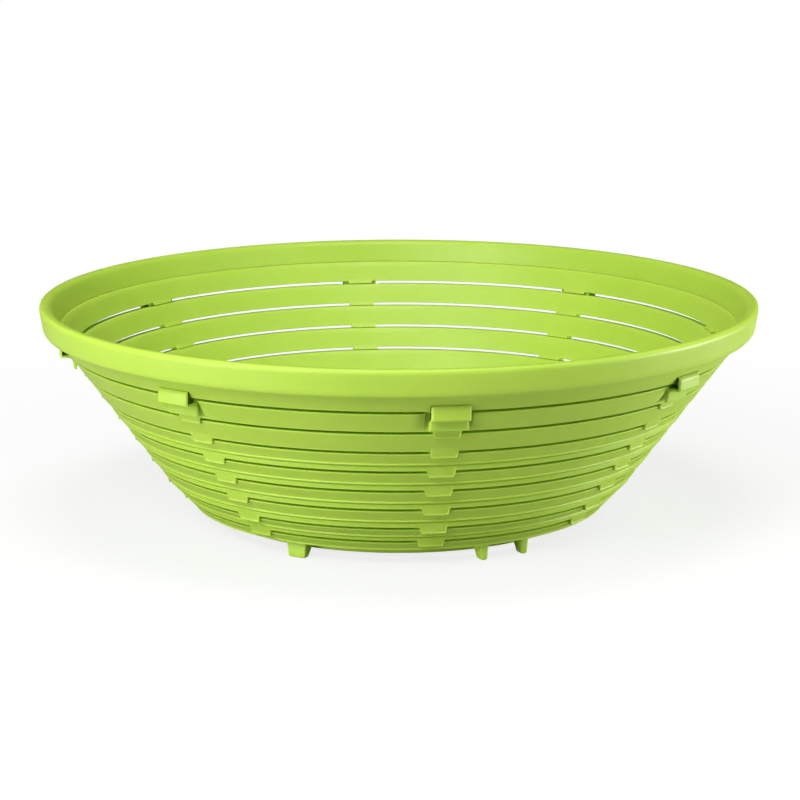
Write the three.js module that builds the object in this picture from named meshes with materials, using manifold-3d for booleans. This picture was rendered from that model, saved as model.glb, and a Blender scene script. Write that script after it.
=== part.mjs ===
// Round plastic proofing basket. A rim and a collar stand over seven stepped wall rings, a base ring
// with feet and a floor of flat rings. Air slots part the rings. Eight columns of lugs and tabs reach
// from each ring to the next and carry it.
// Millimetres, +Z up, origin on the table under the centre. Angles run from -Y towards +X.
import * as THREE from "three";
import { mergeVertices } from "three/addons/utils/BufferGeometryUtils.js";
import Module from "manifold-3d";

// Facets, columns and fits
const FACETS = 48; // flats round every ring, a multiple of COLUMNS
const COLUMNS = 8; // columns of lugs and tabs
const CLEARANCE = 0.3; // gap between pieces that seat on each other

// Heights, from the table up
const FOOT_HEIGHT = 6;
const BASE_RISE = 4.45; // base ring's underside to the lowest wall ring's lower edge
const LAST_RING_PITCH = 6.2; // the lowest wall ring is shorter than the others
const RING_PITCH = 8.01;
const RIM_RISE = 15.49; // collar's lower edge to the crest of the rim

// Radii
const RIM_RADIUS = 130;
const COLLAR_INSET = 9.2; // rim's outside to the collar's lower edge
const RING_STEP = 5.85; // each wall ring's lower edge lies this far inside the one above
const BASE_STEP = 3.85; // lowest wall ring's lower edge to the base ring's

// Rim: an inner wall and an outer skirt under one rounded crest
const RIM_WALL = 1.6;
const CREST_ROUND = 2;
const INNER_WALL_DEPTH = 8; // crest to the seam between rim and collar
const INNER_WALL_LEAN = 3.5;
const SKIRT_DEPTH = 9.4;
const SKIRT_DRAFT = 1.4;
const SKIRT_CURL = 2.2; // radius of the skirt's rolled lower edge

// Collar: a ring whose upright flange stands inside the rim
const FLANGE_THICKNESS = 1.2;
const FLANGE_HEIGHT = 2.4;
const SHOULDER_HEIGHT = 1.8;
const COLLAR_LEDGE = 1; // width of the ledge at the seam, seen from inside

// Wall rings
const WALL_RINGS = 7;
const PLAIN_RINGS = 2; // upper rings with a plain face, the rest have a bead under a groove
const WALL = 3.9; // level width of a ring's wall
const EDGE_RISE = 0.2; // a ring's underside rises by this from its lower edge to the inside
const TOP_RISE = 0.4; // a ring's top slopes up by this to the inside
const TOP_BEVEL = 0.6; // bevel round the outside of a ring's top
const INNER_CHAMFER = 1.2; // height of the chamfer round the inside of a ring's top
const CHAMFER_PROUD = 0.4; // that chamfer's foot stands this far proud of the inner wall
const SLOT_DROP = 1.1; // a ring's lower edge to the top of the next ring
const SLOT_SETBACK = 1; // the next ring's top lies this far inside that lower edge
const BEAD_HEIGHT = 1.7;
const LAST_BEAD_HEIGHT = 1.1;
const BEAD_LEAN = 0.4;
const GROOVE_HEIGHT = 0.8;
const GROOVE_DEPTH = 0.45;
const FACE_STEP = 1.6; // ring's lower edge to the foot of the face above its groove

// Lugs on the collar: a front plate and a shelf round a pocket, and a strap in front of the first wall ring,
// which has a recess there
const LUG_WIDTH = 13;
const LUG_PROUD = 2.2; // collar's lower edge to the front plate's face
const LUG_RISE = 1.1; // collar's lower edge to the top of that face
const LUG_DROP = 2.9; // collar's lower edge to the foot of that face
const LUG_ROOT = 0.1255; // the bevel above that face ends this far inside the collar's face
const POCKET_WALL = 0.8;
const STRAP_STEP = 2.2; // collar's lower edge in to the strap's face at the shelf
const STRAP_WALL = 1.1;
const STRAP_DRAFT = 0.6; // the strap's toe lies this much further in
const STRAP_TOE_LIFT = 0.8; // first wall ring's lower edge to the strap's toe
const RECESS_WIDTH = 14.8;
const RECESS_DEPTH = 3; // at the ring's top
const RECESS_LIFT = 0.3; // first wall ring's lower edge to the recess's foot

// Tabs on the wall rings, which lap over the top of the next ring
const TAB_WIDTH = 9.2;
const TAB_INSET = 0.15; // a tab's face starts this far inside its ring's lower edge
const TAB_DRAFT = 0.8;
const TAB_ROOT = 0.3;
const BRIDGE_ROOT = 0.8; // a bridge's root lies this far outside its ring's inner side
const TAB_LAP = 1.3; // a tab's lip reaches this far below the next ring's top

// Base ring with a rib under it, and feet outside the rib: block feet alternate with forks of two blades
const BASE_FLANGE = 10.6; // base ring's outside to the first floor slot
const BASE_CHAMFER = 0.5;
const RIB_WALL = 2;
const RIB_DEPTH = 3.5;
const FOOT_SETS = 2;
const FOOT_INSET = 2.6; // base ring's outside to a foot's outer face
const BLOCK_WIDTH = 7.8;
const BLOCK_DEPTH = 6.4;
const BLOCK_SOLE = 2.6; // depth of a block foot's sole
const BLADE_WIDTH = 3.4;
const BLADE_DEPTH = 6.4;
const BLADE_SOLE = 3.6;
const FOOT_TAPER = 0.6; // each side of a foot draws in by this towards the table
const FORK_ANGLE = 22.2; // degrees, about midway between two columns
const FORK_SPAN = 16.2; // between the two blades' middles
const BLOCK_OFFSET = -59; // degrees from a fork to its block foot

// Floor
const FLOOR_THICKNESS = 2.3;
const FLOOR_RINGS = 3;
const FLOOR_PITCH = 12.8;
const FLOOR_SLOT = 1.3;
const FLOOR_BRIDGE = 1.4; // height of a tab's bridge in a floor slot
const FLOOR_LAP = 2.6;
const FLOOR_TAB_THICKNESS = 1.5;
const FLOOR_TAB_ROOT = 2;

// Finish: lime green polypropylene, and fineness
const LIME = 0xa3cc3e;
const ROUGHNESS = 0.42;
const ARC_STEPS = 4; // steps in each rounded stretch of an outline
const WELD = 1e-4; // corners nearer than this are one

const wasm = await Module();
wasm.setup();

const facetRadians = Math.PI / FACETS;
const flatRatio = Math.cos(facetRadians); // a flat's middle lies at this share of its corners' radius
const crest = FOOT_HEIGHT + BASE_RISE + LAST_RING_PITCH + (WALL_RINGS - 1) * RING_PITCH + RIM_RISE;
const collarEdge = { r: RIM_RADIUS - COLLAR_INSET, z: crest - RIM_RISE };

// Lower outer edge of wall ring k, where 0 is the collar.
function edgeOf(k) {
  const drop = k < WALL_RINGS ? k * RING_PITCH : (k - 1) * RING_PITCH + LAST_RING_PITCH;
  return { r: collarEdge.r - k * RING_STEP, z: collarEdge.z - drop };
}

// Top outer edge of the ring that follows the ring with this lower edge.
function topUnder(edge) {
  return { r: edge.r - SLOT_SETBACK, z: edge.z - SLOT_DROP };
}

// Radius at a height on the straight line between two points.
function onLine(low, high, z) {
  return low.r + ((high.r - low.r) * (z - low.z)) / (high.z - low.z);
}

// Outer end of a ring's top, where a bevel leads over from the ring's face.
function bevel(low, top) {
  const z = top.z - TOP_BEVEL;
  return [
    [onLine(low, top, z), z],
    [top.r - TOP_BEVEL, top.z],
  ];
}

// Inner side of a ring from its top, whose outer edge is given with the top's rise, down to its foot.
function innerSide(top, rise, edge) {
  const high = { r: top.r - WALL, z: top.z + rise };
  const low = { r: edge.r - WALL, z: edge.z + EDGE_RISE };
  const chamferFoot = high.z - INNER_CHAMFER;
  return [
    [high.r, high.z],
    [onLine(low, high, chamferFoot) - CHAMFER_PROUD, chamferFoot],
    [low.r, low.z],
  ];
}

// Solids
function toSolid(geometry) {
  const bare = new THREE.BufferGeometry();
  bare.setAttribute("position", geometry.getAttribute("position"));
  if (geometry.index) bare.setIndex(geometry.index);
  const merged = mergeVertices(bare, WELD);
  const vertProperties = merged.getAttribute("position").array;
  const triVerts = new Uint32Array(merged.index.array);
  return new wasm.Manifold(new wasm.Mesh({ numProp: 3, vertProperties, triVerts }));
}

// A ring turned from a closed outline of [radius, height] points, with a flat facing each column.
function turned(outline) {
  const points = [...outline, outline[0]].map(([r, z]) => new THREE.Vector2(r, z));
  const lathe = new THREE.LatheGeometry(points, FACETS, -facetRadians, 2 * Math.PI);
  return toSolid(lathe.rotateX(Math.PI / 2));
}

function outward(angle) {
  return new THREE.Vector3(Math.sin(angle), -Math.cos(angle), 0);
}

// A bar of a [radius, height] section, as wide as given along the rim, at an angle.
function bar(section, width, angle) {
  const shape = new THREE.Shape(section.map(([r, z]) => new THREE.Vector2(r * flatRatio, z)));
  const geometry = new THREE.ExtrudeGeometry(shape, { depth: width, bevelEnabled: false });
  const out = outward(angle);
  const up = new THREE.Vector3(0, 0, 1);
  const along = new THREE.Vector3().crossVectors(out, up);
  geometry.translate(0, 0, -width / 2);
  return toSolid(geometry.applyMatrix4(new THREE.Matrix4().makeBasis(out, up, along)));
}

// The same bar in every column.
function columnBars(section, width) {
  const bars = [];
  for (let c = 0; c < COLUMNS; c += 1) {
    bars.push(bar(section, width, (c * 2 * Math.PI) / COLUMNS));
  }
  return bars;
}

function joined(body, extras) {
  return extras.reduce((whole, extra) => whole.add(extra), body);
}

function cut(body, tools) {
  return tools.reduce((whole, tool) => whole.subtract(tool), body);
}

function arc(r, z, radius, startDegrees, endDegrees) {
  const points = [];
  for (let i = 0; i <= ARC_STEPS; i += 1) {
    const a = THREE.MathUtils.degToRad(startDegrees + ((endDegrees - startDegrees) * i) / ARC_STEPS);
    points.push([r + radius * Math.cos(a), z + radius * Math.sin(a)]);
  }
  return points;
}

// Rim
const seam = crest - INNER_WALL_DEPTH;
const collarLedge = seam - CLEARANCE;
const innerWallTop = { r: RIM_RADIUS - 2 * CREST_ROUND, z: crest - CREST_ROUND };
const innerWallFoot = innerWallTop.r - INNER_WALL_LEAN;
const innerWallSlope = INNER_WALL_LEAN / (innerWallTop.z - seam);
const curlCentre = { r: RIM_RADIUS - SKIRT_DRAFT - SKIRT_CURL, z: crest - SKIRT_DEPTH + SKIRT_CURL };

// Radius of the inner wall's hidden side at a height.
function behindInnerWall(z) {
  return innerWallFoot + RIM_WALL + innerWallSlope * (z - seam);
}

function rim() {
  const hollowTop = crest - CREST_ROUND - RIM_WALL;
  const outline = [
    ...arc(curlCentre.r, curlCentre.z, SKIRT_CURL, -90, 0),
    ...arc(RIM_RADIUS - CREST_ROUND, crest - CREST_ROUND, CREST_ROUND, 0, 180),
    [innerWallFoot, seam],
    [behindInnerWall(seam), seam],
    [behindInnerWall(hollowTop), hollowTop],
    [RIM_RADIUS - RIM_WALL, hollowTop],
    ...arc(curlCentre.r, curlCentre.z, SKIRT_CURL - RIM_WALL, 0, -90),
  ];
  return turned(outline);
}

// Faces of the rings under the collar
const lastEdge = edgeOf(WALL_RINGS);
const baseRadius = lastEdge.r - BASE_STEP;
const baseEdge = { r: baseRadius, z: FOOT_HEIGHT + BASE_CHAMFER };

// Foot of wall ring k's leaning face, where the ring after the last is the base ring.
function faceFoot(k) {
  if (k > WALL_RINGS) return baseEdge;
  const edge = edgeOf(k);
  if (k <= PLAIN_RINGS) return edge;
  return { r: edge.r + FACE_STEP, z: beadTop(k) + GROOVE_HEIGHT };
}

function beadTop(k) {
  return edgeOf(k).z + (k < WALL_RINGS ? BEAD_HEIGHT : LAST_BEAD_HEIGHT);
}

// Radius of wall ring k's face at a height.
function faceRadius(k, z) {
  return onLine(faceFoot(k), topUnder(edgeOf(k - 1)), z);
}

// Collar with its lugs

// Section of the bridge that crosses the slot under a ring's lower edge, down to its seat's inner end.
function bridgeSection(edge) {
  const next = topUnder(edge);
  return [
    [edge.r - TAB_INSET, edge.z + TAB_ROOT],
    [edge.r - WALL + BRIDGE_ROOT, edge.z + EDGE_RISE + TAB_ROOT],
    [next.r - WALL, next.z + TOP_RISE + CLEARANCE],
  ];
}

function flangeBack(z) {
  return behindInnerWall(z) + CLEARANCE;
}

// Upper end of the collar's leaning outer face
function collarShoulder() {
  const z = collarLedge - SHOULDER_HEIGHT;
  return { r: flangeBack(z) + FLANGE_THICKNESS, z };
}

function lugSection() {
  const front = collarEdge.r + LUG_PROUD;
  const top = collarEdge.z + LUG_RISE;
  const shelf = collarEdge.z - LUG_DROP;
  const pocketFoot = shelf + POCKET_WALL;
  const back = front - POCKET_WALL;
  const shoulder = collarShoulder();
  const slope = (shoulder.r - collarEdge.r) / (shoulder.z - collarEdge.z);
  const bevelTop = collarEdge.z + (back + LUG_ROOT - collarEdge.r) / slope;
  const strap = collarEdge.r - STRAP_STEP;
  const rootTop = collarEdge.z + EDGE_RISE + TAB_ROOT;
  const toe = edgeOf(1).z + STRAP_TOE_LIFT;
  const toeFace = strap - STRAP_DRAFT;
  return [
    [front, shelf],
    [front, top],
    [back, bevelTop],
    [back, pocketFoot],
    [strap, pocketFoot],
    [strap, rootTop],
    [strap - STRAP_WALL, rootTop],
    [strap - STRAP_WALL, shelf],
    [toeFace - STRAP_WALL, toe],
    [toeFace, toe],
    [strap, shelf],
  ];
}

function collar() {
  const flangeTop = seam + FLANGE_HEIGHT;
  const shoulder = collarShoulder();
  const inside = innerWallFoot - COLLAR_LEDGE;
  const outline = [
    [collarEdge.r, collarEdge.z],
    [shoulder.r, shoulder.z],
    [flangeBack(flangeTop) + FLANGE_THICKNESS, flangeTop],
    [flangeBack(flangeTop), flangeTop],
    [flangeBack(collarLedge), collarLedge],
    ...innerSide({ r: inside + WALL, z: collarLedge }, 0, collarEdge),
  ];
  const seat = topUnder(collarEdge).z + CLEARANCE;
  const bridge = [...bridgeSection(collarEdge), [collarEdge.r - TAB_INSET, seat]];
  return joined(turned(outline), [...columnBars(lugSection(), LUG_WIDTH), ...columnBars(bridge, TAB_WIDTH)]);
}

// Wall rings

// Section of the tabs under wall ring k: a bridge over the slot and a lip outside the next ring.
function tabSection(k) {
  const edge = edgeOf(k);
  const next = topUnder(edge);
  const bevelFoot = next.z - TOP_BEVEL;
  const toe = next.z - TAB_LAP;
  return [
    ...bridgeSection(edge),
    [next.r - TOP_BEVEL + CLEARANCE, next.z + CLEARANCE],
    [faceRadius(k + 1, bevelFoot) + CLEARANCE, bevelFoot],
    [faceRadius(k + 1, toe) + CLEARANCE, toe],
    [edge.r - TAB_INSET - TAB_DRAFT, toe],
  ];
}

// Section of the wedge cut from the first wall ring's face behind each lug.
function recessSection() {
  const top = topUnder(collarEdge);
  const foot = edgeOf(1).z + RECESS_LIFT;
  const low = { r: faceRadius(1, foot), z: foot };
  const above = top.z + TOP_RISE + CLEARANCE;
  const back = onLine(low, { r: top.r - RECESS_DEPTH, z: top.z }, above);
  return [
    [low.r, low.z],
    [top.r + RECESS_DEPTH, low.z],
    [top.r + RECESS_DEPTH, above],
    [back, above],
  ];
}

function wallRing(k) {
  const edge = edgeOf(k);
  const top = topUnder(edgeOf(k - 1));
  const foot = faceFoot(k);
  const outline = [[edge.r, edge.z]];
  if (k > PLAIN_RINGS) {
    const bead = edge.r + BEAD_LEAN;
    outline.push([bead, beadTop(k)]);
    outline.push([bead - GROOVE_DEPTH, beadTop(k)]);
    outline.push([foot.r - GROOVE_DEPTH, foot.z]);
    outline.push([foot.r, foot.z]);
  }
  outline.push(...bevel(foot, top), ...innerSide(top, TOP_RISE, edge));
  const recesses = k === 1 ? columnBars(recessSection(), RECESS_WIDTH) : [];
  return joined(cut(turned(outline), recesses), columnBars(tabSection(k), TAB_WIDTH));
}

// Base ring and feet
const floorTop = FOOT_HEIGHT + FLOOR_THICKNESS;
const flangeInside = baseRadius - BASE_FLANGE;

// A foot under the base ring at an angle, moved sideways along the rim. It narrows to its sole, which lies
// under the foot's outer face.
function foot(width, depth, sole, angle, sideways) {
  const outer = baseRadius - FOOT_INSET;
  const root = FOOT_HEIGHT + FLOOR_THICKNESS / 2;
  const along = new THREE.Vector3(Math.cos(angle), Math.sin(angle), 0);
  const levels = [
    [width / 2 - FOOT_TAPER, sole, 0],
    [width / 2, depth, FOOT_HEIGHT],
    [width / 2, depth, root],
  ];
  const corners = [];
  for (const [half, deep, z] of levels) {
    for (const r of [outer, outer - deep]) {
      for (const s of [sideways - half, sideways + half]) {
        const corner = outward(angle).multiplyScalar(r).addScaledVector(along, s);
        corners.push([corner.x, corner.y, z]);
      }
    }
  }
  return wasm.Manifold.hull(corners);
}

function feet() {
  const all = [];
  for (let s = 0; s < FOOT_SETS; s += 1) {
    const fork = THREE.MathUtils.degToRad(FORK_ANGLE + (s * 360) / FOOT_SETS);
    const block = fork + THREE.MathUtils.degToRad(BLOCK_OFFSET);
    all.push(foot(BLOCK_WIDTH, BLOCK_DEPTH, BLOCK_SOLE, block, 0));
    all.push(foot(BLADE_WIDTH, BLADE_DEPTH, BLADE_SOLE, fork, -FORK_SPAN / 2));
    all.push(foot(BLADE_WIDTH, BLADE_DEPTH, BLADE_SOLE, fork, FORK_SPAN / 2));
  }
  return all;
}

function baseRing() {
  const top = topUnder(lastEdge);
  const ribFoot = FOOT_HEIGHT - RIB_DEPTH;
  const outline = [
    [baseEdge.r - BASE_CHAMFER, FOOT_HEIGHT],
    [baseEdge.r, baseEdge.z],
    ...bevel(baseEdge, top),
    [top.r - WALL, top.z + TOP_RISE],
    [baseRadius - WALL, floorTop],
    [flangeInside, floorTop],
    [flangeInside, ribFoot],
    [flangeInside + RIB_WALL, ribFoot],
    [flangeInside + RIB_WALL, FOOT_HEIGHT],
  ];
  return joined(turned(outline), [...columnBars(floorTabSection(flangeInside), TAB_WIDTH), ...feet()]);
}

// Floor

// Section of the tabs inside a floor ring: a bridge in the slot and a lip under the next ring.
function floorTabSection(inside) {
  const bridgeEnd = inside - FLOOR_SLOT + CLEARANCE;
  const lipEnd = inside - FLOOR_SLOT - FLOOR_LAP;
  const lipTop = FOOT_HEIGHT - CLEARANCE;
  const lipFoot = lipTop - FLOOR_TAB_THICKNESS;
  return [
    [inside + FLOOR_TAB_ROOT, FOOT_HEIGHT + FLOOR_BRIDGE],
    [bridgeEnd, FOOT_HEIGHT + FLOOR_BRIDGE],
    [bridgeEnd, lipTop],
    [lipEnd, lipTop],
    [lipEnd, lipFoot],
    [inside + FLOOR_TAB_ROOT, lipFoot],
  ];
}

function floorRing(k) {
  const outside = flangeInside - (k - 1) * FLOOR_PITCH - FLOOR_SLOT;
  const inside = flangeInside - k * FLOOR_PITCH;
  const outline = [
    [inside, FOOT_HEIGHT],
    [outside, FOOT_HEIGHT],
    [outside, floorTop],
    [inside, floorTop],
  ];
  return joined(turned(outline), columnBars(floorTabSection(inside), TAB_WIDTH));
}

function floorDisc() {
  const outside = flangeInside - FLOOR_RINGS * FLOOR_PITCH - FLOOR_SLOT;
  const outline = [
    [0, FOOT_HEIGHT],
    [outside, FOOT_HEIGHT],
    [outside, floorTop],
    [0, floorTop],
  ];
  return turned(outline);
}

// Assembly
const basket = new THREE.Group();

function place(name, solid) {
  const { numProp, vertProperties, triVerts } = solid.getMesh();
  const positions = new THREE.InterleavedBuffer(vertProperties, numProp);
  const geometry = new THREE.BufferGeometry();
  geometry.setAttribute("position", new THREE.InterleavedBufferAttribute(positions, 3, 0));
  geometry.setIndex(new THREE.BufferAttribute(triVerts, 1));
  geometry.computeVertexNormals();
  const material = new THREE.MeshStandardMaterial({ color: LIME, roughness: ROUGHNESS, metalness: 0 });
  const mesh = new THREE.Mesh(geometry, material);
  mesh.name = name;
  basket.add(mesh);
}

place("rim", rim());
place("collar", collar());
for (let k = 1; k <= WALL_RINGS; k += 1) {
  place(`wall_ring_${k}`, wallRing(k));
}
place("base_ring", baseRing());
for (let k = 1; k <= FLOOR_RINGS; k += 1) {
  place(`floor_ring_${k}`, floorRing(k));
}
place("floor_disc", floorDisc());

export default basket;
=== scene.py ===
# Plastic proofing basket: smooth moulded pieces in lime polypropylene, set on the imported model's frame.
import math
import bmesh
import bpy
import numpy as np
from mathutils import Matrix, Vector


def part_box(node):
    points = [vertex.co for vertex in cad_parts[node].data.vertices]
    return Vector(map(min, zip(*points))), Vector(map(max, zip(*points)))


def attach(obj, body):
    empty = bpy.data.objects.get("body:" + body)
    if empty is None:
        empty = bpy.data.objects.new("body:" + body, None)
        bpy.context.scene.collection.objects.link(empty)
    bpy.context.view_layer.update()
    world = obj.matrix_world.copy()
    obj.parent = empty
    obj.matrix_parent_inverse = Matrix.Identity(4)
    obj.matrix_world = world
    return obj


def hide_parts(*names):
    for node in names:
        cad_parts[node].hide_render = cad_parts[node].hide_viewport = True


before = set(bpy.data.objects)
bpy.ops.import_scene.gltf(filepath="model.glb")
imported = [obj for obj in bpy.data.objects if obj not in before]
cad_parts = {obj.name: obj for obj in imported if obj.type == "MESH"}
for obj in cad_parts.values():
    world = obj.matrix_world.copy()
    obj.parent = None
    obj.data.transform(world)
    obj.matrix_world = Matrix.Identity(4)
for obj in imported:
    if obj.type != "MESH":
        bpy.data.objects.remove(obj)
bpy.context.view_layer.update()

MM = 0.001

# Sizes in millimetres, from the frame where it holds them
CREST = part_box("rim")[1].z / MM
RIM_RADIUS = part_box("rim")[1].x / MM
FLOOR_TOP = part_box("floor_disc")[1].z / MM
FOOT_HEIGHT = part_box("floor_disc")[0].z / MM
WALL_RINGS = sum(name.startswith("wall_ring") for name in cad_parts)
FLOOR_RINGS = sum(name.startswith("floor_ring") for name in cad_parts)
COLUMNS = 8
CLEARANCE = 0.15

# Rings
RIM_RISE = 15.49
RING_PITCH = 8.01
LAST_RING_PITCH = 6.2
COLLAR_INSET = 9.2
RING_STEP = 5.85
BASE_STEP = 3.85
WALL = 3.9
EDGE_RISE = 0.2
TOP_RISE = 0.4
TOP_BEVEL = 0.6
TOP_ROUND = 0.4
INNER_CHAMFER = 1.2
CHAMFER_PROUD = 0.4
CHAMFER_ROUND = 0.8
EDGE_ROUND = 0.25
EDGE_LIP = 0.3
FACE_LIP = 0.65
LIP_FLARE = 0.3
BASE_LIP = 0.8
SLOT_DROP = 1.1
SLOT_SETBACK = 1
PLAIN_RINGS = 2
BEAD_HEIGHT = 1.7
LAST_BEAD_HEIGHT = 1.1
BEAD_LEAN = 0.4
BEAD_ROUND = 0.7
GROOVE_HEIGHT = 0.8
GROOVE_DEPTH = 0.45
FACE_STEP = 1.6

# Rim
RIM_WALL = 1.6
CREST_ROUND = 2
INNER_WALL_DEPTH = 8
INNER_WALL_LEAN = 3.5
SKIRT_DEPTH = 9.4
SKIRT_DRAFT = 1.4
SKIRT_CURL = 2.2
SMALL_ROUND = 0.35
SEAM_GAP = 0.05
SEAM_ROUND = 0.12

# Collar
FLANGE_THICKNESS = 1.2
FLANGE_HEIGHT = 2.4
SHOULDER_HEIGHT = 1.8
COLLAR_LEDGE = 1

# Lugs on the collar
LUG_WIDTH = 13
LUG_PROUD = 2.2
LUG_RISE = 1.1
LUG_DROP = 2.9
LUG_BEVEL = 1.2
LUG_ROUND = 0.7
LUG_SIDE_ROUND = 1
LUG_FILLET = 1.9
POCKET_WALL = 0.8
STRAP_STEP = 2.2
STRAP_WALL = 1.1
STRAP_DRAFT = 0.6
STRAP_TOE_LIFT = 0.8
RECESS_WIDTH = 15.6
RECESS_SIDE = 0.6
RECESS_DEPTH = 3

# Tabs on the wall rings
TAB_TOP_WIDTH = 9.6
TAB_FOOT_WIDTH = 8
BRIDGE_WIDTH = 10.2
BRIDGE_SIDE = 0.3
TAB_LAP = 1.3
TAB_DRAFT = 0.8
TAB_REACH = 1.3
TAB_LIP = 0.6
TAB_FLARE = 0.25
BRIDGE_REACH = 0.12

# Base ring, feet and floor
BASE_FLANGE = 10.6
RIB_WALL = 2
RIB_DEPTH = 3.5
FOOT_SETS = 2
FOOT_INSET = 2.6
FOOT_TAPER = 0.6
FOOT_ROUND = 0.6
BLOCK_WIDTH = 7.8
BLOCK_DEPTH = 6.4
BLOCK_SOLE = 2.6
BLADE_WIDTH = 3.4
BLADE_DEPTH = 6.4
BLADE_SOLE = 3.6
FORK_ANGLE = 22.2
FORK_SPAN = 16.2
BLOCK_OFFSET = -59
FLOOR_PITCH = 12.8
FLOOR_SLOT = 1.3
FLOOR_BRIDGE = 1.4
FLOOR_LAP = 2.6
FLOOR_TAB_THICKNESS = 1.5
FLOOR_TAB_ROOT = 2

# Fineness of the meshes
CORNER_STEPS = 4
PLAIN_STEP = 4
TAB_STEPS = 4
SIDE_STEPS = 8
FADE_PLACES = (0.2, 0.6, 1.4)  # beside a bridge, where the mesh grows coarser
ROUND_SHARE = 0.44  # most of an edge that a round takes at either end
SUPPORT_SHARE = 0.03  # share of an edge from a round to its support point
SHARP_ANGLE = math.radians(38)
WELD = 1e-7  # metres

seam = CREST - INNER_WALL_DEPTH
collar_edge = (RIM_RADIUS - COLLAR_INSET, CREST - RIM_RISE)


def edge_of(k):
    """Lower outer edge of wall ring k, where 0 is the collar."""
    drop = k * RING_PITCH if k < WALL_RINGS else (k - 1) * RING_PITCH + LAST_RING_PITCH
    return collar_edge[0] - k * RING_STEP, collar_edge[1] - drop


def top_under(edge):
    """Top outer edge of the ring that follows the ring with this lower edge."""
    return edge[0] - SLOT_SETBACK, edge[1] - SLOT_DROP


def behind_inner_wall(z):
    """Radius of the hidden side of the rim's inner wall at a height."""
    return inner_wall_foot + RIM_WALL + INNER_WALL_LEAN / (INNER_WALL_DEPTH - CREST_ROUND) * (z - seam)


base_radius = edge_of(WALL_RINGS)[0] - BASE_STEP
flange_inside = base_radius - BASE_FLANGE
inner_wall_foot = RIM_RADIUS - 2 * CREST_ROUND - INNER_WALL_LEAN


# Mesh helpers
def new_piece(name, mesh):
    piece = bpy.data.objects.new(name, mesh)
    bpy.context.scene.collection.objects.link(piece)
    return piece


def rounded(corners, cuts):
    """Rounds closed outlines. corners is (outlines, corners, 2), and cuts says how far a round reaches along
    both edges. Each edge also gets a support point near either end, which keeps its flat shaded flat."""
    before = np.roll(corners, 1, axis=1) - corners
    after = np.roll(corners, -1, axis=1) - corners
    length_before = np.linalg.norm(before, axis=2, keepdims=True)
    length_after = np.linalg.norm(after, axis=2, keepdims=True)
    cut = np.asarray(cuts, float)[None, :, None]
    start = corners + before / length_before * np.minimum(cut, ROUND_SHARE * length_before)
    end = corners + after / length_after * np.minimum(cut, ROUND_SHARE * length_after)
    points = [start + SUPPORT_SHARE * before]
    for t in np.linspace(0, 1, CORNER_STEPS + 1):
        points.append((1 - t) ** 2 * start + 2 * t * (1 - t) * corners + t**2 * end)
    points.append(end + SUPPORT_SHARE * after)
    stacked = np.stack(points, axis=2)
    return stacked.reshape(len(corners), -1, 2)


def grid_mesh(name, points, caps=False):
    """A mesh of closed loops of points, (loops, points, 3). The last loop joins the first, or both ends
    have caps."""
    loops, around = points.shape[:2]
    faces = []
    for j in range(loops - 1 if caps else loops):
        a = j * around
        b = ((j + 1) % loops) * around
        for m in range(around):
            n = (m + 1) % around
            faces.append((a + m, b + m, b + n, a + n))
    if caps:
        last = (loops - 1) * around
        faces.append(tuple(range(around)))
        faces.append(tuple(range(last + around - 1, last - 1, -1)))
    mesh = bpy.data.meshes.new(name)
    mesh.from_pydata((points.reshape(-1, 3) * MM).tolist(), [], faces)
    work = bmesh.new()
    work.from_mesh(mesh)
    bmesh.ops.remove_doubles(work, verts=work.verts, dist=WELD)
    bmesh.ops.delete(work, geom=[v for v in work.verts if not v.link_faces], context="VERTS")
    bmesh.ops.recalc_face_normals(work, faces=work.faces)
    work.to_mesh(mesh)
    work.free()
    mesh.shade_smooth()
    return mesh


def swept(name, outlines, angles):
    """A ring whose outline in (radius, height) may change with the angle."""
    r = outlines[:, :, 0]
    a = angles[:, None]
    points = np.stack([r * np.sin(a), -r * np.cos(a), outlines[:, :, 1]], axis=2)
    return grid_mesh(name, points)


def joined(piece, extras):
    """Unites closed meshes with the piece, and keeps the creases where they meet crisp."""
    for extra in extras:
        union = piece.modifiers.new("union", "BOOLEAN")
        union.operation = "UNION"
        union.solver = "MANIFOLD"
        union.object = extra
    depsgraph = bpy.context.evaluated_depsgraph_get()
    mesh = bpy.data.meshes.new_from_object(piece.evaluated_get(depsgraph))
    piece.modifiers.clear()
    piece.data = mesh
    for extra in extras:
        bpy.data.objects.remove(extra)
    mesh.shade_smooth()
    mesh.set_sharp_from_angle(angle=SHARP_ANGLE)
    return piece


# Angles, outlines and places on the rings
def column_samples(radius, recessed=False):
    """Angles round a ring, fine at the sides of its tabs, and how far each lies in a tab, a bridge or a
    recess, as shares from 0 to 1."""
    top, foot = TAB_TOP_WIDTH / 2, TAB_FOOT_WIDTH / 2
    bridge = BRIDGE_WIDTH / 2
    recess = RECESS_WIDTH / 2
    half_pitch = math.pi * radius / COLUMNS
    stretches = [
        np.linspace(0, foot, TAB_STEPS + 1)[:-1],
        np.linspace(foot, top, SIDE_STEPS + 1),
        np.linspace(bridge - BRIDGE_SIDE, bridge, SIDE_STEPS // 2),
        bridge + np.array(FADE_PLACES[:-1]),
        np.linspace(bridge + FADE_PLACES[-1], half_pitch, int((half_pitch - bridge) / PLAIN_STEP)),
    ]
    if recessed:
        stretches.append(np.linspace(recess - RECESS_SIDE, recess, SIDE_STEPS // 2))
    half = np.unique(np.concatenate(stretches))
    along = np.concatenate([-half[:0:-1], half[:-1]])
    aside = np.tile(np.abs(along), COLUMNS)
    shares = {
        "tab": eased((top - aside) / (top - foot)),
        "span": eased((bridge - aside) / BRIDGE_SIDE),
        "recess": eased((recess - aside) / RECESS_SIDE),
    }
    angles = np.concatenate([along / radius + c * 2 * math.pi / COLUMNS for c in range(COLUMNS)])
    return angles, shares


def eased(t):
    t = np.clip(t, 0, 1)
    return t * t * (3 - 2 * t)


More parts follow.
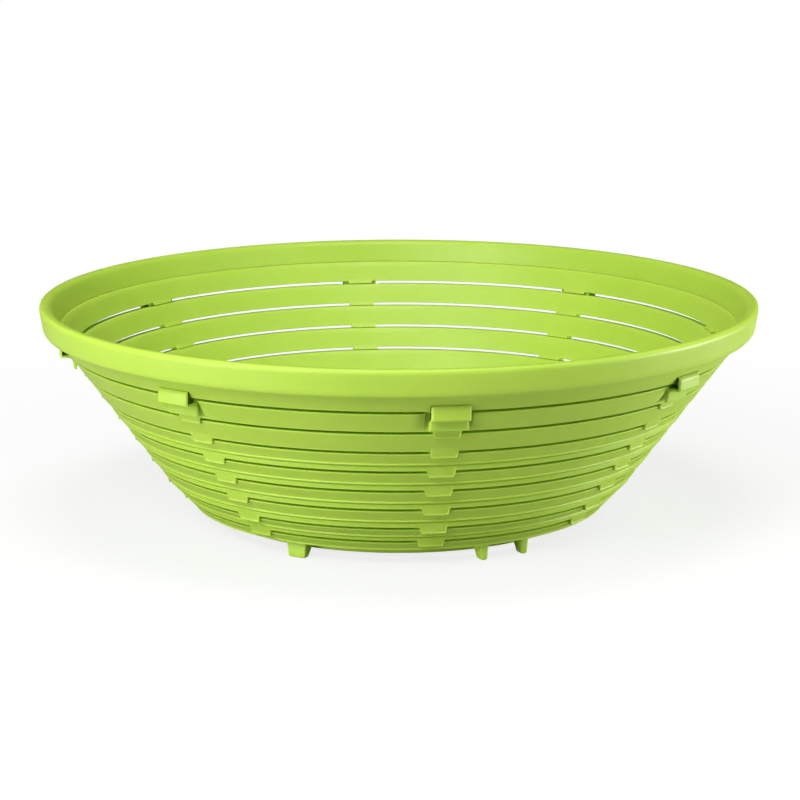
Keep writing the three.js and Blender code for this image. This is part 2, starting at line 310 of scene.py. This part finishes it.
def plain_angles(radius):
    count = COLUMNS * int(2 * math.pi * radius / COLUMNS / PLAIN_STEP)
    return np.arange(count) * 2 * math.pi / count


def between(a, b, t):
    return a[0] + (b[0] - a[0]) * t, a[1] + (b[1] - a[1]) * t


def outlines_of(corners, shares):
    """Rounded outlines for all angles. Each corner is (plain place, place in a column, share, round), and
    its share is None or the name of one of the shares."""
    plain = np.array([corner[0] for corner in corners], float)[None]
    moved = np.array([corner[1] for corner in corners], float)[None]
    none = np.zeros_like(shares["tab"])
    mix = np.stack([shares.get(corner[2], none) for corner in corners], axis=1)[:, :, None]
    return rounded((1 - mix) * plain + mix * moved, [corner[3] for corner in corners])


def fixed(r, z, round_off):
    return (r, z), (r, z), None, round_off


def lathe(name, corners):
    """A ring with the same outline all round, from (radius, height, round) corners."""
    outline = np.array(corners, float)
    angles = plain_angles(outline[:, 0].max())
    section = rounded(outline[None, :, :2], outline[:, 2])
    return swept(name, np.repeat(section, len(angles), axis=0), angles)


def lip(r, z, height, flare=0):
    """Corners of the upright lip along a lower edge, from below."""
    return [(r + flare, z, EDGE_ROUND), (r, z + height, EDGE_ROUND)]


def on_line(low, high, z):
    """Radius at a height on the straight line between two places."""
    return low[0] + (high[0] - low[0]) * (z - low[1]) / (high[1] - low[1])


def bead_top(k):
    return edge_of(k)[1] + (BEAD_HEIGHT if k < WALL_RINGS else LAST_BEAD_HEIGHT)


def face_foot(k):
    """Foot of wall ring k's leaning face, where the ring after the last is the base ring."""
    if k > WALL_RINGS:
        return base_radius, FOOT_HEIGHT + BASE_LIP
    r, z = edge_of(k)
    if k <= PLAIN_RINGS:
        return r, z + EDGE_LIP
    return r + FACE_STEP, bead_top(k) + GROOVE_HEIGHT + FACE_LIP


def face_radius(k, z):
    return on_line(face_foot(k), top_under(edge_of(k - 1)), z)


def inner_side(top, rise, edge):
    """Corners of a ring's inner side above its foot, from the top's inner end down, and that foot."""
    high = (top[0] - WALL, top[1] + rise)
    foot = (edge[0] - WALL, edge[1] + EDGE_RISE)
    chamfer_foot = high[1] - INNER_CHAMFER
    chamfer = on_line(foot, high, chamfer_foot) - CHAMFER_PROUD
    hold = between(foot, (chamfer, chamfer_foot), BRIDGE_REACH)
    return [(*high, TOP_ROUND), (chamfer, chamfer_foot, CHAMFER_ROUND), (*hold, SMALL_ROUND)], foot


# Pieces
def make_rim():
    inner_top = RIM_RADIUS - 2 * CREST_ROUND
    hollow_top = CREST - CREST_ROUND - RIM_WALL
    skirt_foot = CREST - SKIRT_DEPTH
    skirt = RIM_RADIUS - SKIRT_DRAFT
    curl_end = skirt - SKIRT_CURL
    corners = [
        (curl_end, skirt_foot, SMALL_ROUND),
        (skirt, skirt_foot, SKIRT_CURL),
        (RIM_RADIUS, CREST, CREST_ROUND),
        (inner_top, CREST, CREST_ROUND),
        (inner_wall_foot, seam, SEAM_ROUND),
        (inner_wall_foot + RIM_WALL, seam, SEAM_ROUND),
        (behind_inner_wall(hollow_top), hollow_top, SMALL_ROUND),
        (RIM_RADIUS - RIM_WALL, hollow_top, SMALL_ROUND),
        (skirt - RIM_WALL, skirt_foot + RIM_WALL, SKIRT_CURL - RIM_WALL),
        (curl_end, skirt_foot + RIM_WALL, SMALL_ROUND),
    ]
    return new_piece("moulded_rim", lathe("rim", corners))


def make_lug(angle):
    """A front plate and a shelf round a pocket under the collar, with a strap down in front of the first
    wall ring."""
    edge_r, edge_z = collar_edge
    front = edge_r + LUG_PROUD
    back = front - POCKET_WALL
    top = edge_z + LUG_RISE
    shelf = edge_z - LUG_DROP
    pocket_foot = shelf + POCKET_WALL
    strap = edge_r - STRAP_STEP
    root_top = edge_z + 2 * EDGE_RISE
    toe = edge_of(1)[1] + STRAP_TOE_LIFT
    toe_face = strap - STRAP_DRAFT
    corners = [
        (front, shelf, LUG_ROUND),
        (front, top, LUG_ROUND),
        (back, top + LUG_BEVEL, SMALL_ROUND),
        (back, pocket_foot, SMALL_ROUND),
        (strap, pocket_foot, SMALL_ROUND),
        (strap, root_top, SMALL_ROUND),
        (strap - STRAP_WALL, root_top, SMALL_ROUND),
        (strap - STRAP_WALL, shelf, LUG_ROUND),
        (toe_face - STRAP_WALL, toe, SMALL_ROUND),
        (toe_face, toe, LUG_ROUND),
        (strap, shelf, LUG_FILLET),
    ]
    outline = np.array(corners, float)
    section = rounded(outline[None, :, :2], outline[:, 2])[0]
    return bar("lug", section, LUG_WIDTH, LUG_SIDE_ROUND, angle)


def bar(name, section, width, side_round, angle):
    """A bar of a (radius, height) section across a column, whose outer faces round off to its ends."""
    tangent = np.roll(section, -1, axis=0) - np.roll(section, 1, axis=0)
    tangent /= np.linalg.norm(tangent, axis=1, keepdims=True)
    outwardness = np.maximum(0, tangent[:, 1])
    turn = np.linspace(0, math.pi / 2, CORNER_STEPS + 1)
    setbacks = side_round * (1 - np.sin(turn))
    places = -width / 2 + side_round * (1 - np.cos(turn))
    loops = list(zip(places, setbacks))
    loops += [(-place, setback) for place, setback in reversed(loops)]
    out = np.array([math.sin(angle), -math.cos(angle)])
    along = np.array([math.cos(angle), math.sin(angle)])
    points = []
    for place, setback in loops:
        radii = section[:, 0] - outwardness * setback
        points.append(np.column_stack([radii[:, None] * out + place * along, section[:, 1]]))
    return new_piece(name, grid_mesh(name, np.array(points), caps=True))


def make_collar():
    ledge = seam - SEAM_GAP
    shoulder = ledge - SHOULDER_HEIGHT
    flange_top = seam + FLANGE_HEIGHT
    inside = inner_wall_foot - COLLAR_LEDGE

    def flange_back(z):
        return behind_inner_wall(z) + CLEARANCE

    above, foot = inner_side((inside + WALL, ledge), 0, collar_edge)
    shell = lip(*collar_edge, EDGE_LIP) + [
        (flange_back(shoulder) + FLANGE_THICKNESS, shoulder, SMALL_ROUND),
        (flange_back(flange_top) + FLANGE_THICKNESS, flange_top, SMALL_ROUND),
        (flange_back(flange_top), flange_top, SMALL_ROUND),
        (flange_back(ledge), ledge, SMALL_ROUND),
    ]
    follower = top_under(collar_edge)
    seat = follower[1] + CLEARANCE
    corners = [fixed(*corner) for corner in shell + above]
    corners.append((foot, (follower[0] - WALL, seat + TOP_RISE), "span", SMALL_ROUND))
    corners.append((between(foot, collar_edge, 1 / 2), (follower[0], seat), "span", SMALL_ROUND))
    angles, shares = column_samples(collar_edge[0])
    piece = new_piece("moulded_collar", swept("collar", outlines_of(corners, shares), angles))
    return joined(piece, [make_lug(c * 2 * math.pi / COLUMNS) for c in range(COLUMNS)])


def make_wall_ring(k):
    edge = edge_of(k)
    top = top_under(edge_of(k - 1))
    recess_top = (top[0] - (RECESS_DEPTH if k == 1 else 0), top[1])
    follower = top_under(edge)
    seat = follower[1] + CLEARANCE
    bevel_foot = follower[1] - TOP_BEVEL
    toe = (edge[0] - TAB_DRAFT, follower[1] - TAB_LAP)
    bead = edge[0] + BEAD_LEAN
    lean = BEAD_LEAN * EDGE_LIP / BEAD_HEIGHT if k > PLAIN_RINGS else 0
    lower = zip(lip(edge[0] + lean, edge[1], EDGE_LIP, -lean), lip(*toe, TAB_LIP, TAB_FLARE))
    corners = [((r, z), (tab_r, tab_z), "tab", cut) for (r, z, cut), (tab_r, tab_z, _) in lower]
    if k > PLAIN_RINGS:
        face = edge[0] + FACE_STEP
        groove_top = bead_top(k) + GROOVE_HEIGHT
        corners.append(fixed(bead, bead_top(k), BEAD_ROUND))
        corners.append(fixed(bead - GROOVE_DEPTH, bead_top(k), SMALL_ROUND))
        corners.append(fixed(face - GROOVE_DEPTH, groove_top, SMALL_ROUND))
        corners += [fixed(*corner) for corner in lip(face, groove_top, FACE_LIP, LIP_FLARE)]
    else:
        reach = edge[1] + TAB_REACH
        recessed = on_line(face_foot(k), recess_top, reach)
        corners.append(((face_radius(k, reach), reach), (recessed, reach), "recess", SMALL_ROUND))
    corners.append((top, recess_top, "recess", TOP_BEVEL))
    above, foot = inner_side(top, TOP_RISE, edge)
    corners += [fixed(*corner) for corner in above]
    under = [
        ((follower[0] - WALL, seat + TOP_RISE), "span"),
        ((follower[0] - TOP_BEVEL + CLEARANCE, seat), "span"),
        ((face_radius(k + 1, bevel_foot) + CLEARANCE, bevel_foot), "tab"),
        ((face_radius(k + 1, toe[1]) + CLEARANCE, toe[1]), "tab"),
    ]
    for i, (place, share) in enumerate(under):
        corners.append((between(foot, edge, i / len(under)), place, share, SMALL_ROUND))
    angles, shares = column_samples(edge[0], recessed=k == 1)
    mesh = swept(f"wall_ring_{k}", outlines_of(corners, shares), angles)
    return new_piece(f"moulded_wall_ring_{k}", mesh)


def floor_tab(inside, root, plain_root):
    """Corners on the inner side of a floor ring, from its top down to a tab's root, which is plain_root
    between the tabs."""
    bridge_top = FOOT_HEIGHT + FLOOR_BRIDGE
    bridge_end = inside - FLOOR_SLOT + CLEARANCE
    lip_end = inside - FLOOR_SLOT - FLOOR_LAP
    lip_top = FOOT_HEIGHT - CLEARANCE
    lip_foot = lip_top - FLOOR_TAB_THICKNESS
    tab = [(bridge_end, bridge_top), (bridge_end, lip_top), (lip_end, lip_top), (lip_end, lip_foot)]
    heights = np.linspace(bridge_top, FOOT_HEIGHT, len(tab) + 1)
    corners = [fixed(inside, FLOOR_TOP, SMALL_ROUND), fixed(inside, bridge_top, SMALL_ROUND)]
    corners += [((inside, z), place, "tab", SMALL_ROUND) for z, place in zip(heights[1:], tab)]
    corners.append((plain_root, (root, lip_foot), "tab", SMALL_ROUND))
    return corners


def make_foot(width, depth, sole, angle, sideways):
    """A foot that narrows to a rounded sole under its outer face, and whose top lies inside the base ring."""
    root = FOOT_HEIGHT + (FLOOR_TOP - FOOT_HEIGHT) / 2
    turn = np.linspace(0, math.pi / 2, CORNER_STEPS + 1)
    levels = [(FOOT_ROUND * (1 - math.cos(a)), FOOT_ROUND * (1 - math.sin(a))) for a in turn]
    levels += [(FOOT_HEIGHT / 2, 0), (FOOT_HEIGHT, 0), (root, 0)]
    outer = base_radius - FOOT_INSET
    out = np.array([math.sin(angle), -math.cos(angle)])
    along = np.array([math.cos(angle), math.sin(angle)])
    points = []
    for z, inset in levels:
        rise = min(1, z / FOOT_HEIGHT)
        half_width = width / 2 - FOOT_TAPER * (1 - rise) - inset
        inner = outer - sole - (depth - sole) * rise + inset
        corners = [
            (half_width, inner),
            (half_width, outer - inset),
            (-half_width, outer - inset),
            (-half_width, inner),
        ]
        section = rounded(np.array(corners)[None], [FOOT_ROUND] * len(corners))[0]
        flat = (section[:, :1] + sideways) * along + section[:, 1:] * out
        points.append(np.column_stack([flat, np.full(len(flat), z)]))
    return new_piece("foot", grid_mesh("foot", np.array(points), caps=True))


def make_feet():
    feet = []
    for s in range(FOOT_SETS):
        fork = math.radians(FORK_ANGLE + s * 360 / FOOT_SETS)
        feet.append(make_foot(BLOCK_WIDTH, BLOCK_DEPTH, BLOCK_SOLE, fork + math.radians(BLOCK_OFFSET), 0))
        for side in (-1, 1):
            feet.append(make_foot(BLADE_WIDTH, BLADE_DEPTH, BLADE_SOLE, fork, side * FORK_SPAN / 2))
    return feet


def make_base_ring():
    top = top_under(edge_of(WALL_RINGS))
    rib_outside = flange_inside + RIB_WALL
    rib_foot = FOOT_HEIGHT - RIB_DEPTH
    shell = lip(base_radius, FOOT_HEIGHT, BASE_LIP) + [
        (*top, TOP_BEVEL),
        (top[0] - WALL, top[1] + TOP_RISE, TOP_ROUND),
        (base_radius - WALL, FLOOR_TOP, TOP_ROUND),
    ]
    rib = [
        (flange_inside, rib_foot, SMALL_ROUND),
        (rib_outside, rib_foot, SMALL_ROUND),
        (rib_outside, FOOT_HEIGHT, TOP_ROUND),
    ]
    corners = [fixed(*corner) for corner in shell]
    corners += floor_tab(flange_inside, flange_inside, (flange_inside, FOOT_HEIGHT - RIB_DEPTH / 2))
    corners += [fixed(*corner) for corner in rib]
    angles, shares = column_samples(flange_inside)
    piece = new_piece("moulded_base_ring", swept("base_ring", outlines_of(corners, shares), angles))
    return joined(piece, make_feet())


def make_floor_ring(k):
    outside = flange_inside - (k - 1) * FLOOR_PITCH - FLOOR_SLOT
    inside = flange_inside - k * FLOOR_PITCH
    root = inside + FLOOR_TAB_ROOT
    corners = [fixed(outside, FOOT_HEIGHT, SMALL_ROUND), fixed(outside, FLOOR_TOP, SMALL_ROUND)]
    corners += floor_tab(inside, root, (inside + FLOOR_TAB_ROOT / 2, FOOT_HEIGHT))
    corners.append(fixed(root, FOOT_HEIGHT, SMALL_ROUND))
    angles, shares = column_samples(inside)
    mesh = swept(f"floor_ring_{k}", outlines_of(corners, shares), angles)
    return new_piece(f"moulded_floor_ring_{k}", mesh)


def make_floor_disc():
    outside = flange_inside - FLOOR_RINGS * FLOOR_PITCH - FLOOR_SLOT
    corners = [
        (0, FOOT_HEIGHT, 0),
        (outside, FOOT_HEIGHT, SMALL_ROUND),
        (outside, FLOOR_TOP, SMALL_ROUND),
        (0, FLOOR_TOP, 0),
    ]
    return new_piece("moulded_floor_disc", lathe("floor_disc", corners))


# Plastic, with its grain and scatter in millimetres
LIME_DEEP = (0.405, 0.595, 0.064)
LIME_PALE = (0.44, 0.63, 0.074)
TONE_SCALE = 28
GLOSSY, DULL = 0.4, 0.5
GLOSS_SCALE = 90
GLOSS_LEVEL = 0.35
GRAIN_SCALE = 2600
GRAIN_DEPTH = 0.05
GRAIN_STRENGTH = 0.12
REFRACTION = 1.49
SCATTER_SHARE = 0.65
SCATTER_TINT = (0.8, 1, 0.25)
SCATTER_REACH = 2


def lime_plastic():
    """Satin polypropylene that lets a little light in: lime with a faint drift of tone, uneven gloss and a
    fine moulded grain."""
    material = bpy.data.materials.new("lime_polypropylene")
    material.use_nodes = True
    nodes = material.node_tree.nodes
    link = material.node_tree.links.new
    shader = nodes["Principled BSDF"]
    coordinates = nodes.new("ShaderNodeTexCoord")

    def noise(scale, detail):
        texture = nodes.new("ShaderNodeTexNoise")
        texture.inputs["Scale"].default_value = scale
        texture.inputs["Detail"].default_value = detail
        link(coordinates.outputs["Object"], texture.inputs["Vector"])
        return texture.outputs["Fac"]

    def ramp(factor, low, high, start=0.3, stop=0.7):
        node = nodes.new("ShaderNodeValToRGB")
        node.color_ramp.elements[0].position = start
        node.color_ramp.elements[1].position = stop
        node.color_ramp.elements[0].color = (*low, 1)
        node.color_ramp.elements[1].color = (*high, 1)
        link(factor, node.inputs["Fac"])
        return node.outputs["Color"]

    link(ramp(noise(TONE_SCALE, 3), LIME_DEEP, LIME_PALE), shader.inputs["Base Color"])
    link(ramp(noise(GLOSS_SCALE, 4), (GLOSSY,) * 3, (DULL,) * 3), shader.inputs["Roughness"])
    grain = nodes.new("ShaderNodeBump")
    grain.inputs["Strength"].default_value = GRAIN_STRENGTH
    grain.inputs["Distance"].default_value = GRAIN_DEPTH * MM
    link(noise(GRAIN_SCALE, 2), grain.inputs["Height"])
    link(grain.outputs["Normal"], shader.inputs["Normal"])
    shader.inputs["IOR"].default_value = REFRACTION
    shader.inputs["Specular IOR Level"].default_value = GLOSS_LEVEL
    shader.inputs["Subsurface Weight"].default_value = SCATTER_SHARE
    shader.inputs["Subsurface Radius"].default_value = SCATTER_TINT
    shader.inputs["Subsurface Scale"].default_value = SCATTER_REACH * MM
    return material


# Stage and world, in metres
FLOOR_HALF = 6
FLOOR_SEEN = (0.9, 0.9, 0.9)
FLOOR_BOUNCE = (0.45, 0.45, 0.43)
SHADOW_SHARE = 0.2
SHADOW_REACH = 0.35
WORLD_LIGHT = 0.01


def make_stage():
    sides = [(-1, -1), (1, -1), (1, 1), (-1, 1)]
    corners = [(FLOOR_HALF * x, FLOOR_HALF * y, 0) for x, y in sides]
    mesh = bpy.data.meshes.new("floor")
    mesh.from_pydata(corners, [], [(0, 1, 2, 3)])
    floor = new_piece("studio_floor", mesh)
    floor.data.materials.append(floor_material())


def floor_material():
    """A pale floor. The camera sees it as white, with the object's shadow near the object."""
    material = bpy.data.materials.new("studio_floor")
    material.use_nodes = True
    nodes = material.node_tree.nodes
    link = material.node_tree.links.new
    nodes.remove(nodes["Principled BSDF"])

    def mixed(factor, first, second):
        node = nodes.new("ShaderNodeMixShader")
        link(factor, node.inputs["Fac"])
        link(first, node.inputs[1])
        link(second, node.inputs[2])
        return node.outputs["Shader"]

    def diffuse(color):
        node = nodes.new("ShaderNodeBsdfDiffuse")
        node.inputs["Color"].default_value = (*color, 1)
        return node.outputs["BSDF"]

    white = nodes.new("ShaderNodeEmission").outputs["Emission"]
    coordinates = nodes.new("ShaderNodeTexCoord")
    distance = nodes.new("ShaderNodeVectorMath")
    distance.operation = "LENGTH"
    link(coordinates.outputs["Object"], distance.inputs[0])
    near = nodes.new("ShaderNodeMapRange")
    near.inputs["From Min"].default_value = SHADOW_REACH
    near.inputs["From Max"].default_value = RIM_RADIUS * MM
    near.inputs["To Max"].default_value = SHADOW_SHARE
    link(distance.outputs["Value"], near.inputs["Value"])
    seen = mixed(near.outputs["Result"], white, diffuse(FLOOR_SEEN))
    path = nodes.new("ShaderNodeLightPath")
    shown = mixed(path.outputs["Is Camera Ray"], diffuse(FLOOR_BOUNCE), seen)
    link(shown, nodes["Material Output"].inputs["Surface"])
    return material


def make_world():
    world = bpy.data.worlds.new("studio")
    bpy.context.scene.world = world
    world.use_nodes = True
    nodes = world.node_tree.nodes
    link = world.node_tree.links.new
    soft = nodes["Background"]
    soft.inputs["Color"].default_value = (1, 1, 1, 1)
    soft.inputs["Strength"].default_value = WORLD_LIGHT
    white = nodes.new("ShaderNodeBackground")
    white.inputs["Color"].default_value = (1, 1, 1, 1)
    path = nodes.new("ShaderNodeLightPath")
    mix = nodes.new("ShaderNodeMixShader")
    link(path.outputs["Is Camera Ray"], mix.inputs["Fac"])
    link(soft.outputs["Background"], mix.inputs[1])
    link(white.outputs["Background"], mix.inputs[2])
    link(mix.outputs["Shader"], nodes["World Output"].inputs["Surface"])


# Soft boxes and strips: degrees to the right of the camera and up, then metres away, wide and high, and watts
LIGHTS = {
    "overhead": (0, 78, 1.3, 0.6, 0.6, 9.2),
    "key_left": (-30, 35, 1.3, 0.6, 0.6, 12.8),
    "fill_right": (60, 35, 1.3, 0.6, 0.6, 3.3),
    "strip_left": (-55, 0, 0.8, 0.4, 0.09, 3),
    "strip_right": (92, 0, 0.8, 0.4, 0.09, 4.6),
}
LIGHT_AIM = Vector((0, 0, 0.05))


def make_lights():
    for name, (azimuth, elevation, distance, width, height, watts) in LIGHTS.items():
        data = bpy.data.lights.new(name, "AREA")
        data.shape = "RECTANGLE"
        data.size, data.size_y = width, height
        data.energy = watts
        lamp = bpy.data.objects.new(name, data)
        bpy.context.scene.collection.objects.link(lamp)
        direction = from_camera_side(math.radians(azimuth), math.radians(elevation))
        lamp.location = LIGHT_AIM + direction * distance
        lamp.rotation_euler = (LIGHT_AIM - lamp.location).to_track_quat("-Z", "Y").to_euler()


# Camera, as fitted to the photograph, with its aim in millimetres
ELEVATION = math.radians(12.82)
TURN = math.radians(7.86)
DISTANCE = 0.908
LENS = 111.4
SENSOR = 36
AIM_SIDE = 0.4
AIM_BELOW_CREST = 38.95


def from_camera_side(azimuth, elevation):
    """Direction towards a place seen from the object, with the camera at azimuth 0."""
    level = Vector((math.sin(azimuth), -math.cos(azimuth), 0)) * math.cos(elevation)
    return Matrix.Rotation(-TURN, 3, "Z") @ (level + Vector((0, 0, math.sin(elevation))))


def make_camera():
    data = bpy.data.cameras.new("photo_camera")
    data.lens = LENS
    data.sensor_width = SENSOR
    camera = bpy.data.objects.new("photo_camera", data)
    bpy.context.scene.collection.objects.link(camera)
    aim = Matrix.Rotation(-TURN, 3, "Z") @ Vector((AIM_SIDE, 0, CREST - AIM_BELOW_CREST)) * MM
    back = from_camera_side(0, ELEVATION)
    camera.location = aim + back * DISTANCE
    camera.rotation_euler = (-back).to_track_quat("-Z", "Y").to_euler()
    bpy.context.scene.camera = camera


def make_basket():
    plastic = lime_plastic()
    makers = {"rim": make_rim, "collar": make_collar, "base_ring": make_base_ring}
    pieces = {name: make() for name, make in makers.items()}
    for k in range(1, WALL_RINGS + 1):
        pieces[f"wall_ring_{k}"] = make_wall_ring(k)
    for k in range(1, FLOOR_RINGS + 1):
        pieces[f"floor_ring_{k}"] = make_floor_ring(k)
    pieces["floor_disc"] = make_floor_disc()
    for node, piece in pieces.items():
        piece.data.materials.clear()
        piece.data.materials.append(plastic)
        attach(piece, "root")
        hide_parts(node)


make_camera()
make_basket()
make_stage()
make_world()
make_lights()
bpy.context.scene.view_settings.view_transform = "Standard"
